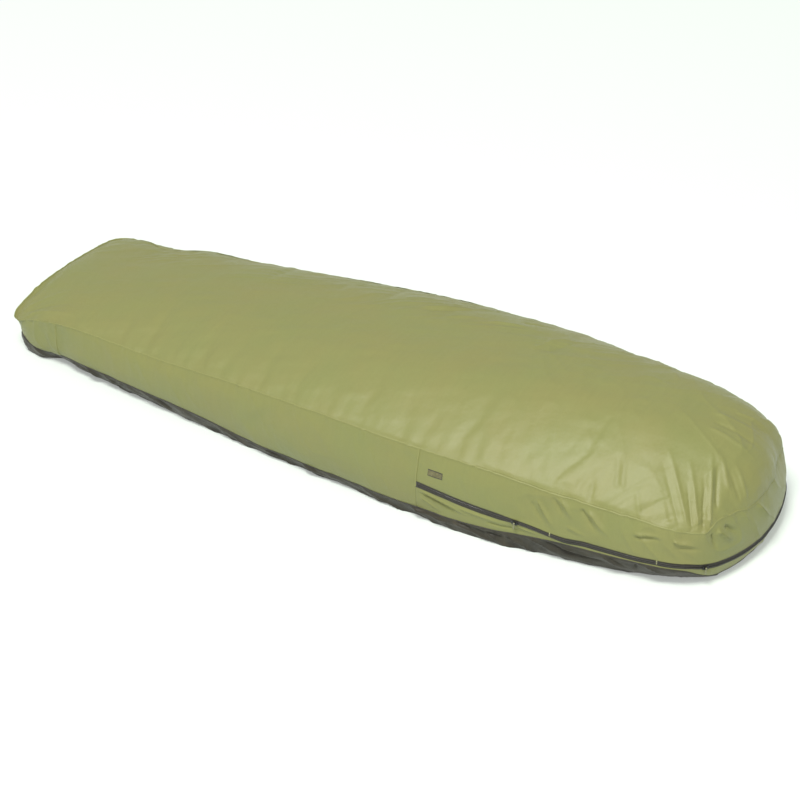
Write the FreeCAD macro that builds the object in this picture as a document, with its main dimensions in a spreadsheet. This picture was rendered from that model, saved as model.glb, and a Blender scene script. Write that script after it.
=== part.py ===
import FreeCAD, Part
import math
import os
import Sketcher

# A full-length bivy sack: a tapered bag of thin waterproof cloth with a boxed foot, a dark tub
# floor and a zip that runs from one shoulder round the head to the other, so that the whole
# head end folds up as a hood.  Millimetres, +X to the head, +Z up, origin on the ground at the
# middle of the footprint.  Cloth is drawn thicker than it is, so that every panel is a solid.
# Each panel is a shell of the bag's shape, cut to a region that is drawn from the side.

os.makedirs("parts", exist_ok=True)
doc = FreeCAD.newDocument("bivy_sack")
V = FreeCAD.Vector

# ---------------------------------------------------------------- driving dimensions
DIMENSIONS = [
    ("full_length", 2300.0),
    ("foot_half_width", 280.0),
    ("foot_corner_radius", 67.0),
    ("side_angle", 4.92),          # degrees, how fast each side line widens towards the head
    ("side_end_x", -105.5),        # where the side line becomes the shoulder arc
    ("shoulder_radius", 3784.0),
    ("shoulder_end_angle", 78.32),  # degrees, outward normal where the shoulder arc ends
    ("head_corner_radius", 179.3),
    ("cloth", 3.0),
    ("proud", 1.5),                # how far seams, bindings and the coil stand out
    ("ground_inset", 18.0),
    ("straight_from", 38.0),       # the wall is upright between these two heights
    ("straight_to", 132.0),
    ("tall", 360.0),
    ("tall_inset", 24.0),
    ("rim_height", 42.5),          # top of the tub floor
    ("rim_drop_x", 700.0),         # from here to the head tip the rim comes down
    ("rim_tip_height", 12.0),
    ("rim_joint_x", 850.0),        # where the side lengths of the rim meet the head's length
    ("zip_start_x", 320.0),
    ("zip_start_height", 106.0),
    ("zip_tilt", 3.4),             # degrees, the zip comes down towards the head
    ("zip_half_band", 10.0),
    ("coil_from", 1.2),
    ("coil_to", 3.5),
    ("fold_wall_x", 200.0),        # the cloth that creases when the hood is lifted
    ("fold_top_x", 100.0),
    ("fold_height", 104.0),
    ("hood_gap", 0.3),
    ("seam_height", 8.0),
    ("binding_half", 4.0),
    ("riser_width", 6.0),
    ("foot_seam_x", -955.0),
    ("seam_tape_width", 20.0),
    ("seam_tape_thick", 1.5),
    ("baffle_inset", 6.0),
    ("baffle_inner", 8.0),
    ("baffle_below", 10.0),
    ("baffle_flange", 16.0),
    ("baffle_top", 24.0),
    ("label_x", 350.0),
    ("label_height", 148.0),
    ("label_long", 41.0),
    ("label_tall", 24.0),
    ("label_border", 3.0),
    ("tack_first_x", 703.0),
    ("tack_second_x", 985.0),
    ("tack_width", 4.0),
    ("slider_near_x", 608.0),
    ("slider_head_angle", 38.6),   # degrees round the head's near corner arc
    ("slider_long", 16.0),
    ("slider_tall", 10.0),
    ("slider_plate", 2.6),
    ("slider_clear", 0.7),
    ("slider_back", 1.5),          # thickness of the plate inside the bag
    ("back_clear", 0.9),
    ("web_long", 6.0),             # the wedge that joins the two plates between the coils
    ("web_clear", 0.4),
    ("ear_thick", 1.4),
    ("ear_tall", 4.0),
    ("ear_past_pin", 1.8),
    ("pin_radius", 0.8),
    ("eye_radius", 2.2),
    ("eye_clear", 0.3),
    ("puller_long", 18.0),
    ("puller_wide", 4.4),
    ("puller_thick", 2.0),
    ("end_patch_long", 14.0),
]
sheet = doc.addObject("Spreadsheet::Sheet", "dims")
for row, (alias, value) in enumerate(DIMENSIONS, start=1):
    sheet.set("A%d" % row, alias)
    sheet.set("B%d" % row, repr(value))
    sheet.setAlias("B%d" % row, alias)
doc.recompute()
size = {alias: float(getattr(sheet, alias)) for alias, value in DIMENSIONS}

WIDE = 600.0      # further out than any piece, for the regions that cut panels out of shells
HIGH = 420.0      # higher than any piece
FAR_X = 1300.0    # beyond both ends


# ---------------------------------------------------------------- plan outline
def polar(centre, radius, angle):
    """The point at an angle in radians on a circle."""
    return (centre[0] + radius * math.cos(angle), centre[1] + radius * math.sin(angle))


def outline_arcs():
    """Centres, radii and end angles of the far half of the outline, which is all tangent."""
    tilt = math.radians(size["side_angle"])
    normal = tilt + math.pi / 2
    foot = (-size["full_length"] / 2 + size["foot_corner_radius"],
            size["foot_half_width"] - size["foot_corner_radius"])
    start = polar(foot, size["foot_corner_radius"], normal)
    run = (size["side_end_x"] - start[0]) / math.cos(tilt)
    end = (start[0] + run * math.cos(tilt), start[1] + run * math.sin(tilt))
    shoulder = polar(end, -size["shoulder_radius"], normal)
    turn = math.radians(size["shoulder_end_angle"])
    reach = size["shoulder_radius"] - size["head_corner_radius"]
    corner = polar(shoulder, reach, turn)
    back = corner[0] - size["full_length"] / 2
    small = size["head_corner_radius"]
    head_radius = (small ** 2 - back ** 2 - corner[1] ** 2) / (2 * (back + small))
    head = (size["full_length"] / 2 - head_radius, 0.0)
    last = math.atan2(corner[1], corner[0] - head[0])
    return [
        (foot, size["foot_corner_radius"], math.pi, normal),
        (shoulder, size["shoulder_radius"], normal, turn),
        (corner, small, turn, last),
        (head, head_radius, last, 0.0),
    ]


def outline_edges(inset):
    """The closed outline, drawn in by inset, as lines and concentric arcs in one order."""
    foot, shoulder, corner, head = outline_arcs()

    def arc(piece, side, last=None):
        centre, radius, first_angle, last_angle = piece
        last_angle = last_angle if last is None else last
        middle = (first_angle + last_angle) / 2
        points = [polar(centre, radius - inset, a) for a in (first_angle, middle, last_angle)]
        if side < 0:
            points = [(x, -y) for x, y in reversed(points)]
        return Part.Arc(*[V(x, y, 0) for x, y in points])

    def line(first, last):
        return Part.LineSegment(V(first[0], first[1], 0), V(last[0], last[1], 0))

    side_from = polar(foot[0], foot[1] - inset, foot[3])
    side_to = polar(shoulder[0], shoulder[1] - inset, shoulder[2])
    foot_from = polar(foot[0], foot[1] - inset, foot[2])
    return [
        line((foot_from[0], -foot_from[1]), foot_from),
        arc(foot, 1),
        line(side_from, side_to),
        arc(shoulder, 1),
        arc(corner, 1),
        arc(head, 1, last=-head[2]),
        arc(corner, -1),
        arc(shoulder, -1),
        line((side_to[0], -side_to[1]), (side_from[0], -side_from[1])),
        arc(foot, -1),
    ]


def outline_sketch(name, inset, height_cell):
    """A sketch of the outline at the height of a cell of the sheet."""
    sketch = doc.addObject("Sketcher::SketchObject", name)
    sketch.addGeometry(outline_edges(inset), False)
    if height_cell:
        sketch.setExpression("Placement.Base.z", "dims." + height_cell)
    return sketch


def wall_block(name, inset):
    """The bag's filled plan shape, narrower at the ground and above the zip, set in by inset."""
    levels = [
        (size["ground_inset"], None),
        (0.0, "straight_from"),
        (0.0, "straight_to"),
        (size["tall_inset"], "tall"),
    ]
    rings = [
        outline_sketch("%s_ring_%d" % (name, i), inset + extra, cell)
        for i, (extra, cell) in enumerate(levels)
    ]
    loft = doc.addObject("Part::Loft", name)
    loft.Sections = rings
    loft.Solid = True
    loft.Ruled = True
    return loft


# ---------------------------------------------------------------- crown of the top
# Stations along the bag: x, height on the centre line, height at the seam, half-width there.
CROWN = [
    (-1180.0, 162.0, 124.0, 262.0),
    (-700.0, 208.0, 165.0, 300.0),
    (-300.0, 247.0, 193.0, 330.0),
    (100.0, 288.0, 217.0, 360.0),
    (450.0, 316.0, 200.0, 358.0),
    (820.0, 321.0, 176.0, 345.0),
    (1000.0, 268.0, 140.0, 340.0),
    (1100.0, 200.0, 108.0, 340.0),
    (1180.0, 140.0, 80.0, 340.0),
]
CROWN_POWER = 3.0     # how full the cross-section is: 2 is a parabola
CROWN_REACH = 1.25    # the section runs on past the seam, so that the walls trim it
CROWN_SHARES = [-CROWN_REACH, -0.9, -0.6, -0.3, 0.0, 0.3, 0.6, 0.9, CROWN_REACH]
BELOW_GROUND = -60.0  # how far down the blocks under the crown reach


def crown_section(name, station, drop):
    """One closed cross-section of the block under the crown, lowered by drop."""
    x, top, seam, half = station
    points = [
        V(x, share * half, top - drop - (top - seam) * abs(share) ** CROWN_POWER)
        for share in CROWN_SHARES
    ]
    curve = Part.BSplineCurve()
    curve.interpolate(points)
    corners = [
        points[-1],
        V(x, points[-1].y, BELOW_GROUND),
        V(x, points[0].y, BELOW_GROUND),
        points[0],
    ]
    edges = [curve.toShape()]
    edges += [Part.makeLine(a, b) for a, b in zip(corners, corners[1:])]
    section = doc.addObject("Part::Feature", name)
    section.Shape = Part.Wire(edges)
    return section


def crown_block(name, drop):
    """The block under the top cloth's outer surface, lowered by drop."""
    loft = doc.addObject("Part::Loft", name)
    loft.Sections = [
        crown_section("%s_section_%d" % (name, i), station, drop)
        for i, station in enumerate(CROWN)
    ]
    loft.Solid = True
    loft.Ruled = False
    return loft


# ---------------------------------------------------------------- building steps
def cut(name, base, tool):
    piece = doc.addObject("Part::Cut", name)
    piece.Base = base
    piece.Tool = tool
    return piece


def common(name, base, tool):
    piece = doc.addObject("Part::Common", name)
    piece.Base = base
    piece.Tool = tool
    return piece


def fuse(name, shapes):
    piece = doc.addObject("Part::MultiFuse", name)
    piece.Shapes = shapes
    piece.Refine = True
    return piece


def region(name, points, side=0):
    """A block seen from the side as the polygon of (x, z) points; side -1 near, 1 far, 0 both."""
    sketch = doc.addObject("Sketcher::SketchObject", name + "_profile")
    sketch.Placement = FreeCAD.Placement(V(0, 0, 0), FreeCAD.Rotation(V(1, 0, 0), 90))
    closed = points + points[:1]
    sketch.addGeometry(
        [Part.LineSegment(V(a[0], a[1], 0), V(b[0], b[1], 0)) for a, b in zip(closed, closed[1:])],
        False,
    )
    block = doc.addObject("Part::Extrusion", name)
    block.Base = sketch
    block.DirMode = "Custom"
    block.Dir = V(0, 1, 0)
    block.LengthFwd = WIDE if side >= 0 else 0.0
    block.LengthRev = WIDE if side <= 0 else 0.0
    block.Solid = True
    return block


def zip_line(offset):
    """(x, z) at the zip's start and past the head tip, offset up from the zip's middle."""
    fall = math.tan(math.radians(size["zip_tilt"]))
    rise = offset / math.cos(math.radians(size["zip_tilt"]))
    start = size["zip_start_x"]
    return [
        (start, size["zip_start_height"] + rise),
        (FAR_X, size["zip_start_height"] + rise - fall * (FAR_X - start)),
    ]


RIM_SLOPE = (size["rim_tip_height"] - size["rim_height"]) / (
    size["full_length"] / 2 - size["rim_drop_x"])
PAST_TIP = size["full_length"] / 2 + 20.0


def rim_at(x):
    """Height of the top of the tub floor where it comes down towards the head tip."""
    return size["rim_height"] + RIM_SLOPE * (x - size["rim_drop_x"])


def rim_line(offset, first, floor=0.0):
    """(x, z) along the top of the tub floor, offset up, from x first to past the head tip."""
    level = size["rim_height"] + offset
    points = [(first, level)]
    if first < size["rim_drop_x"]:
        points.append((size["rim_drop_x"], level))
    low = rim_at(PAST_TIP) + offset
    if low < floor:
        points.append((size["rim_drop_x"] + (floor - level) / RIM_SLOPE, floor))
        low = floor
    points.append((PAST_TIP, low))
    return points


# ---------------------------------------------------------------- shells
cloth = size["cloth"]
outer = wall_block("outer_block", 0.0)
inner = wall_block("inner_block", cloth)
proud_block = wall_block("proud_block", -size["proud"])
tape_block = wall_block("tape_block", cloth + size["seam_tape_thick"])
baffle_outer = wall_block("baffle_outer_block", size["baffle_inset"])
baffle_inner = wall_block("baffle_inner_block", size["baffle_inner"])
crown = crown_block("crown_block", 0.0)
crown_under = crown_block("crown_under_block", cloth)
crown_seam = crown_block("crown_seam_block", size["seam_height"])
crown_tape = crown_block("crown_tape_block", cloth + size["seam_tape_width"])

wall = common("wall_shell", cut("wall_ring", outer, inner), crown_under)
top = common("top_shell", outer, cut("crown_slab", crown, crown_under))
outer_skin = common("outer_skin", cut("outer_skin_ring", proud_block, outer), crown_seam)
seam_skin = common(
    "seam_skin", cut("seam_ring", proud_block, outer), cut("seam_slab", crown, crown_seam)
)
inner_skin = common("inner_skin", cut("inner_skin_ring", inner, tape_block), crown_tape)
tape_skin = common(
    "tape_skin", cut("tape_ring", inner, tape_block), cut("tape_slab", crown_under, crown_tape)
)
coil_shell = cut("coil_shell", proud_block, inner)

start_x = size["zip_start_x"]
hood_x = start_x + size["hood_gap"]
band = size["zip_half_band"]
foot_x = size["foot_seam_x"]
rim = size["rim_height"]
binding = size["binding_half"]
nodes = []


def add(label, piece):
    """Names a finished piece and keeps it for checking and export."""
    piece.Label = label
    nodes.append(piece)
    return piece


def panel(label, shell, points, side=0):
    """A piece of a shell inside a region seen from the side."""
    return add(label, common(label, shell, region(label + "_region", points, side)))


SIDES = (("near", -1), ("far", 1))

# ---------------------------------------------------------------- tub floor
floor_box = doc.addObject("Part::Box", "floor_layer")
floor_box.Length = 2 * FAR_X
floor_box.Width = 2 * WIDE
floor_box.setExpression("Height", "dims.cloth")
floor_box.Placement.Base = V(-FAR_X, -WIDE, 0)
add("floor_sheet", common("floor_sheet", outer, floor_box))

joint_x = size["rim_joint_x"]
panel("tub_rim_foot", wall, [(-FAR_X, cloth), (-FAR_X, rim), (foot_x, rim), (foot_x, cloth)])
for side_name, side in SIDES:
    panel("tub_rim_" + side_name, wall, [
        (foot_x, cloth), (foot_x, rim), (size["rim_drop_x"], rim),
        (joint_x, rim_at(joint_x)), (joint_x, cloth),
    ], side)
panel("tub_rim_head", wall, [
    (joint_x, cloth), (joint_x, rim_at(joint_x)), (PAST_TIP, rim_at(PAST_TIP)), (PAST_TIP, cloth),
])

# ---------------------------------------------------------------- foot end, walls and top
panel("foot_panel", wall, [(-FAR_X, rim), (foot_x, rim), (foot_x, HIGH), (-FAR_X, HIGH)])
for side_name, side in SIDES:
    panel("side_wall_" + side_name, wall, [
        (foot_x, rim), (start_x, rim), (start_x, size["fold_height"]),
        (size["fold_wall_x"], size["fold_height"]), (size["fold_wall_x"], HIGH), (foot_x, HIGH),
    ], side)
panel("top_panel", top, [
    (-FAR_X, 0), (size["fold_top_x"], 0), (size["fold_top_x"], HIGH), (-FAR_X, HIGH),
])
fold_walls = common("fold_walls", wall, region("fold_wall_region", [
    (size["fold_wall_x"], size["fold_height"]), (start_x, size["fold_height"]),
    (start_x, HIGH), (size["fold_wall_x"], HIGH),
]))
fold_top = common("fold_top", top, region("fold_top_region", [
    (size["fold_top_x"], 0), (start_x, 0), (start_x, HIGH), (size["fold_top_x"], HIGH),
]))
add("fold_band", fuse("fold_band", [fold_walls, fold_top]))

# ---------------------------------------------------------------- strip and zip under the hood
lower = zip_line(-band)
panel("lower_zip_wall", wall, rim_line(0, start_x) + [lower[1], lower[0]])
panel("lower_zip_tape", wall, zip_line(-band) + zip_line(-size["coil_to"])[::-1])
panel("lower_zip_coil", coil_shell,
      zip_line(-size["coil_to"]) + zip_line(-size["coil_from"])[::-1])
for side_name, side in SIDES:
    panel("zip_end_patch_" + side_name, outer_skin, [
        (start_x - size["end_patch_long"], size["zip_start_height"] - band),
        (start_x, size["zip_start_height"] - band),
        (start_x, size["fold_height"]),
        (start_x - size["end_patch_long"], size["fold_height"]),
    ], side)

# ---------------------------------------------------------------- seams and bindings of the sack
panel("top_seam_foot", seam_skin, [(-FAR_X, 0), (foot_x, 0), (foot_x, HIGH), (-FAR_X, HIGH)])
for side_name, side in SIDES:
    panel("top_seam_" + side_name, seam_skin, [
        (foot_x, 0), (size["fold_wall_x"], 0), (size["fold_wall_x"], HIGH), (foot_x, HIGH),
    ], side)
    panel("foot_corner_seam_" + side_name, outer_skin, [
        (foot_x - binding, rim + binding), (foot_x + binding, rim + binding),
        (foot_x + binding, HIGH), (foot_x - binding, HIGH),
    ], side)
    panel("riser_seam_" + side_name, outer_skin, [
        (start_x - size["riser_width"], rim + binding), (start_x, rim + binding),
        (start_x, size["zip_start_height"] - band),
        (start_x - size["riser_width"], size["zip_start_height"] - band),
    ], side)
panel("floor_binding", outer_skin, rim_line(-binding, -FAR_X) + rim_line(binding, -FAR_X)[::-1])
panel("floor_seam_tape", inner_skin,
      rim_line(-size["seam_tape_width"] / 2, -FAR_X, cloth) + rim_line(
          size["seam_tape_width"] / 2, -FAR_X)[::-1])
for side_name, side in SIDES:
    panel("top_seam_tape_" + side_name, tape_skin, [
        (-FAR_X, 0), (size["fold_wall_x"], 0), (size["fold_wall_x"], HIGH), (-FAR_X, HIGH),
    ], side)

# ---------------------------------------------------------------- hood
hood_zone = [(hood_x, 0), (FAR_X, 0), (FAR_X, HIGH), (hood_x, HIGH)]


def from_hood(line):
    """A zip line that starts at the hood's own edge."""
    share = size["hood_gap"] / (line[1][0] - line[0][0])
    return [(hood_x, line[0][1] + share * (line[1][1] - line[0][1])), line[1]]


def above(offset):
    """Everything of the hood above a line parallel to the zip."""
    line = from_hood(zip_line(offset))
    return line + [(FAR_X, HIGH), (hood_x, HIGH)]


panel("hood_top", top, hood_zone)
panel("hood_wall", wall, above(band))
panel("hood_seam", seam_skin, hood_zone)
panel("hood_seam_tape", tape_skin, hood_zone)
panel("upper_zip_tape", wall,
      from_hood(zip_line(size["coil_to"])) + from_hood(zip_line(band))[::-1])
panel("upper_zip_coil", coil_shell,
      from_hood(zip_line(size["coil_from"])) + from_hood(zip_line(size["coil_to"]))[::-1])
riser_to = hood_x + size["riser_width"]
riser_low = size["zip_start_height"] + band
for side_name, side in SIDES:
    panel("hood_riser_seam_" + side_name, outer_skin, [
        (hood_x, riser_low), (riser_to, riser_low), (riser_to, HIGH), (hood_x, HIGH),
    ], side)
flange_shell = common("flange_shell", cut("flange_ring", inner, baffle_inner), crown_under)
hanging_shell = common(
    "hanging_shell", cut("hanging_ring", baffle_outer, baffle_inner), crown_under
)
flange = common("baffle_flange", flange_shell, region(
    "baffle_flange_region",
    from_hood(zip_line(size["baffle_flange"])) + from_hood(zip_line(size["baffle_top"]))[::-1]))
hanging = common("baffle_hanging", hanging_shell, region(
    "baffle_hanging_region",
    from_hood(zip_line(-size["baffle_below"])) + from_hood(zip_line(size["baffle_flange"]))[::-1]))
add("zip_baffle", fuse("zip_baffle", [flange, hanging]))

label_low = (size["label_x"], size["label_height"])
label_high = (size["label_x"] + size["label_long"], size["label_height"] + size["label_tall"])


def rectangle(low, high, margin=0.0):
    """The corners of an upright rectangle seen from the side, drawn in by margin."""
    return [
        (low[0] + margin, low[1] + margin), (high[0] - margin, low[1] + margin),
        (high[0] - margin, high[1] - margin), (low[0] + margin, high[1] - margin),
    ]


panel("label_patch", outer_skin, rectangle(label_low, label_high, size["label_border"]), -1)
label_frame = cut(
    "label_frame",
    region("label_outer_region", rectangle(label_low, label_high), -1),
    region("label_inner_region", rectangle(label_low, label_high, size["label_border"]), -1),
)
add("label_border", common("label_border", outer_skin, label_frame))
tacks = []
for number, tack_x in enumerate((size["tack_first_x"], size["tack_second_x"])):
    fall = math.tan(math.radians(size["zip_tilt"])) * (tack_x - start_x)
    base = size["zip_start_height"] - fall + band
    tack_low = (tack_x, base - size["tack_width"])
    tack_high = (tack_x + size["tack_width"], base + 2 * size["tack_width"])
    tacks.append(region("tack_region_%d" % number, rectangle(tack_low, tack_high)))
tack_region = doc.addObject("Part::Compound", "tack_regions")
tack_region.Links = tacks
add("bar_tacks", common("bar_tacks", outer_skin, tack_region))


# ---------------------------------------------------------------- sliders and pullers
def slider_frame(piece, angle):
    """A placement on the zip's middle line: X along the zip, Y inward, Z along the wall."""
    centre, radius = piece[0], piece[1]
    tilt = math.radians(size["zip_tilt"])
    near_centre = (centre[0], -centre[1])
    spot = polar(near_centre, radius, angle)
    height = size["zip_start_height"] - math.tan(tilt) * (spot[0] - start_x)
    turn = FreeCAD.Rotation(V(0, 0, 1), math.degrees(angle) + 90)
    lean = FreeCAD.Rotation(V(0, 1, 0), size["zip_tilt"])
    return FreeCAD.Placement(V(spot[0], spot[1], height), lean.multiply(turn))


def block(name, along, inward, up):
    """A box from pairs of expressions: its ends along the zip, inward and up."""
    box = doc.addObject("Part::Box", name)
    pairs = (("Length", "x", along), ("Width", "y", inward), ("Height", "z", up))
    for length, axis, (low, high) in pairs:
        box.setExpression(length, "(%s) - (%s)" % (high, low))
        box.setExpression("Placement.Base." + axis, low)
    return box


def rod(name, radius, long):
    """A round bar along the zip through the slider's pin, from two expressions."""
    bar = doc.addObject("Part::Cylinder", name)
    bar.setExpression("Radius", radius)
    bar.setExpression("Height", long)
    bar.Placement = FreeCAD.Placement(V(0, 0, 0), FreeCAD.Rotation(V(0, 1, 0), 90))
    bar.setExpression("Placement.Base.x", "-(%s) / 2" % long)
    bar.setExpression("Placement.Base.y", PIN_IN)
    return bar


# Expressions for the slider's levels, measured inward from the outer face of the cloth.
PLATE_OUT = "-dims.proud - dims.slider_clear"
PLATE_FACE = PLATE_OUT + " - dims.slider_plate"
PIN_IN = PLATE_FACE + " - dims.eye_radius - dims.eye_clear"
BACK_IN = "dims.cloth + dims.back_clear"
EAR_INSIDE = "dims.puller_wide / 2 + dims.eye_clear"
EAR_OUTSIDE = EAR_INSIDE + " + dims.ear_thick"


def about(length):
    """The pair of expressions for a length centred on zero."""
    return "-(%s) / 2" % length, "(%s) / 2" % length


def slider(name, place):
    """Two plates joined by a web between the coils, and two ears that hold the puller's pin."""
    along = about("dims.slider_long")
    up = about("dims.slider_tall")
    web_up = about("2 * (dims.coil_from - dims.web_clear)")
    ear_in = (PIN_IN + " - dims.ear_past_pin", PLATE_FACE)
    ear_up = about("dims.ear_tall")
    piece = fuse(name, [
        block(name + "_plate", along, (PLATE_FACE, PLATE_OUT), up),
        block(name + "_back", along, (BACK_IN, BACK_IN + " + dims.slider_back"), up),
        block(name + "_web", about("dims.web_long"), (PLATE_OUT, BACK_IN), web_up),
        rod(name + "_pin", "dims.pin_radius", "2 * (%s)" % EAR_OUTSIDE),
        block(name + "_ear_first", ("-(%s)" % EAR_OUTSIDE, "-(%s)" % EAR_INSIDE), ear_in, ear_up),
        block(name + "_ear_second", (EAR_INSIDE, EAR_OUTSIDE), ear_in, ear_up),
    ])
    piece.Placement = place
    return add(name, piece)


def puller(name, place):
    """A short tab with a round eye about the slider's pin."""
    tab_in = (PIN_IN + " - dims.puller_thick / 2", PIN_IN + " + dims.puller_thick / 2")
    body = fuse(name + "_body", [
        rod(name + "_eye", "dims.eye_radius", "dims.puller_wide"),
        block(name + "_tab", about("dims.puller_wide"), tab_in, ("-dims.puller_long", "0")),
    ])
    bore = rod(name + "_bore", "dims.pin_radius + dims.eye_clear", "2 * dims.puller_wide")
    piece = cut(name, body, bore)
    piece.Placement = place
    return add(name, piece)


foot_arc, shoulder_arc, corner_arc, head_arc = outline_arcs()
near_angle = -math.acos((size["slider_near_x"] - shoulder_arc[0][0]) / shoulder_arc[1])
head_angle = -math.radians(size["slider_head_angle"])
places = {
    "side": slider_frame(shoulder_arc, near_angle),
    "head": slider_frame(corner_arc, head_angle),
}
for place_name, place in places.items():
    slider("%s_slider" % place_name, place)
    puller("%s_puller" % place_name, place)

# ---------------------------------------------------------------- check and export
doc.recompute()
bad = [o.Name for o in doc.Objects if "Invalid" in o.State or "Error" in o.State]
if bad:
    raise SystemExit("these objects failed: %s" % bad)
for piece in nodes:
    shape = piece.Shape
    if shape.isNull() or not shape.isValid() or not shape.Solids or shape.Volume <= 0:
        raise SystemExit("%s is not a valid solid" % piece.Label)
for piece in nodes:
    piece.Shape.exportStep("parts/%s.step" % piece.Label)
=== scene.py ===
import bmesh
import bpy
import math
import numpy as np
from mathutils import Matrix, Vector


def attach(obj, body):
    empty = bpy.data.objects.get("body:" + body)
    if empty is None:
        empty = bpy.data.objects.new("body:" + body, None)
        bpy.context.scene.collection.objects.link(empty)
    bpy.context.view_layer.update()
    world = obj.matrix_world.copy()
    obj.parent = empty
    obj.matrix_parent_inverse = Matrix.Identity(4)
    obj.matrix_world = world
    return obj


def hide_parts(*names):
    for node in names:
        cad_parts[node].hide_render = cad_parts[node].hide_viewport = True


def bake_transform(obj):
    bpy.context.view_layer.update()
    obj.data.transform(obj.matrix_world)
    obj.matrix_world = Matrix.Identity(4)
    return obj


# The looks of the bivy sack: a tapered bag of olive coated nylon, puffed up by the air in it,
# on a dark tub floor.  Metres, +X to the head, +Z up, the near side at -Y.

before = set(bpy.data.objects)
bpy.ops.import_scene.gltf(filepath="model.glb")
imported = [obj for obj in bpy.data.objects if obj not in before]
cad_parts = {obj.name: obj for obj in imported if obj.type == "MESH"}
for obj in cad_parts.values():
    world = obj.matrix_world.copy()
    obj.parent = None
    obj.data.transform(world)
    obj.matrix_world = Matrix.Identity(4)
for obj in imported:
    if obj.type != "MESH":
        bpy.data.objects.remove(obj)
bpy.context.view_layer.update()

# ------------------------ camera
CAMERA_TURN = math.radians(32.28)
CAMERA_RISE = math.radians(32.515)
CAMERA_AWAY = 6.6105
CAMERA_TARGET = Vector((0.0908, -0.0914, 0.1400))
CAMERA_LENS = 109.2


def make_camera():
    """The camera looks down at the near side, from beyond the head end."""
    level = math.cos(CAMERA_RISE)
    away = Vector((math.sin(CAMERA_TURN) * level, -math.cos(CAMERA_TURN) * level,
                   math.sin(CAMERA_RISE)))
    data = bpy.data.cameras.new("camera")
    data.lens = CAMERA_LENS
    camera = bpy.data.objects.new("camera", data)
    bpy.context.scene.collection.objects.link(camera)
    camera.location = CAMERA_TARGET + away * CAMERA_AWAY
    camera.rotation_euler = (-away).to_track_quat("-Z", "Y").to_euler()
    bpy.context.scene.camera = camera


make_camera()

# ------------------------ plan outline
HALF_LENGTH = 1.150
FOOT_HALF = 0.280
FOOT_RADIUS = 0.067
SIDE_ANGLE = math.radians(4.92)
SIDE_END = -0.1055
SHOULDER_RADIUS = 3.784
SHOULDER_TURN = math.radians(78.32)
CORNER_RADIUS = 0.1793


def outline_pieces():
    """The far half of the outline from the middle of the foot to the head tip, all tangent:
    for each piece its length, start point, start normal and radius (0 for a straight line)."""
    normal = SIDE_ANGLE + math.pi / 2
    foot = np.array([-HALF_LENGTH + FOOT_RADIUS, FOOT_HALF - FOOT_RADIUS])

    def at(centre, radius, angle):
        return centre + radius * np.array([math.cos(angle), math.sin(angle)])

    foot_from = at(foot, FOOT_RADIUS, math.pi)
    side_from = at(foot, FOOT_RADIUS, normal)
    side_length = (SIDE_END - side_from[0]) / math.cos(SIDE_ANGLE)
    side_to = side_from + side_length * np.array([math.cos(SIDE_ANGLE), math.sin(SIDE_ANGLE)])
    shoulder = at(side_to, -SHOULDER_RADIUS, normal)
    corner_from = at(shoulder, SHOULDER_RADIUS, SHOULDER_TURN)
    corner = at(shoulder, SHOULDER_RADIUS - CORNER_RADIUS, SHOULDER_TURN)
    back = corner[0] - HALF_LENGTH
    head_radius = (CORNER_RADIUS ** 2 - back ** 2 - corner[1] ** 2) / (2 * (back + CORNER_RADIUS))
    head_turn = math.atan2(corner[1], corner[0] - (HALF_LENGTH - head_radius))
    head_from = at(corner, CORNER_RADIUS, head_turn)
    return [
        (foot_from[1], np.array([-HALF_LENGTH, 0.0]), math.pi, 0.0),
        (FOOT_RADIUS * (math.pi - normal), foot_from, math.pi, FOOT_RADIUS),
        (side_length, side_from, normal, 0.0),
        (SHOULDER_RADIUS * (normal - SHOULDER_TURN), side_to, normal, SHOULDER_RADIUS),
        (CORNER_RADIUS * (SHOULDER_TURN - head_turn), corner_from, SHOULDER_TURN, CORNER_RADIUS),
        (head_radius * head_turn, head_from, head_turn, head_radius),
    ]


PIECES = outline_pieces()
HALF_RUN = sum(piece[0] for piece in PIECES)


def plan(run):
    """Points and outward normals of the outline.  A run is the distance along it from the
    middle of the foot, by the near side to the head tip and back by the far side."""
    run = np.asarray(run, float) % (2 * HALF_RUN)
    far = run > HALF_RUN
    left = np.where(far, 2 * HALF_RUN - run, run)
    x = np.zeros_like(left)
    y = np.zeros_like(left)
    angle = np.zeros_like(left)
    start = 0.0
    for length, first, normal, radius in PIECES:
        here = (left >= start) & (left <= start + length + 1e-9)
        along = left - start
        if radius == 0.0:
            px = first[0] + along * math.sin(normal)
            py = first[1] - along * math.cos(normal)
            turn = np.full_like(left, normal)
        else:
            turn = normal - along / radius
            px = first[0] + radius * (np.cos(turn) - math.cos(normal))
            py = first[1] + radius * (np.sin(turn) - math.sin(normal))
        x = np.where(here, px, x)
        y = np.where(here, py, y)
        angle = np.where(here, turn, angle)
        start += length
    return x, np.where(far, y, -y), np.where(far, angle, -angle)


SAMPLE_RUNS = np.linspace(PIECES[0][0] + 1e-4, HALF_RUN, 2001)
SAMPLE_X = plan(SAMPLE_RUNS)[0]


def run_at(x, side=-1):
    """The run where the outline passes x, on the near (-1) or the far (+1) side."""
    near = np.interp(x, SAMPLE_X, SAMPLE_RUNS)
    return near if side < 0 else 2 * HALF_RUN - near


# ------------------------ shape helpers
def ease(t):
    """0 to 1 with a flat start and end."""
    t = np.clip(t, 0.0, 1.0)
    return t * t * (3 - 2 * t)


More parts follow.
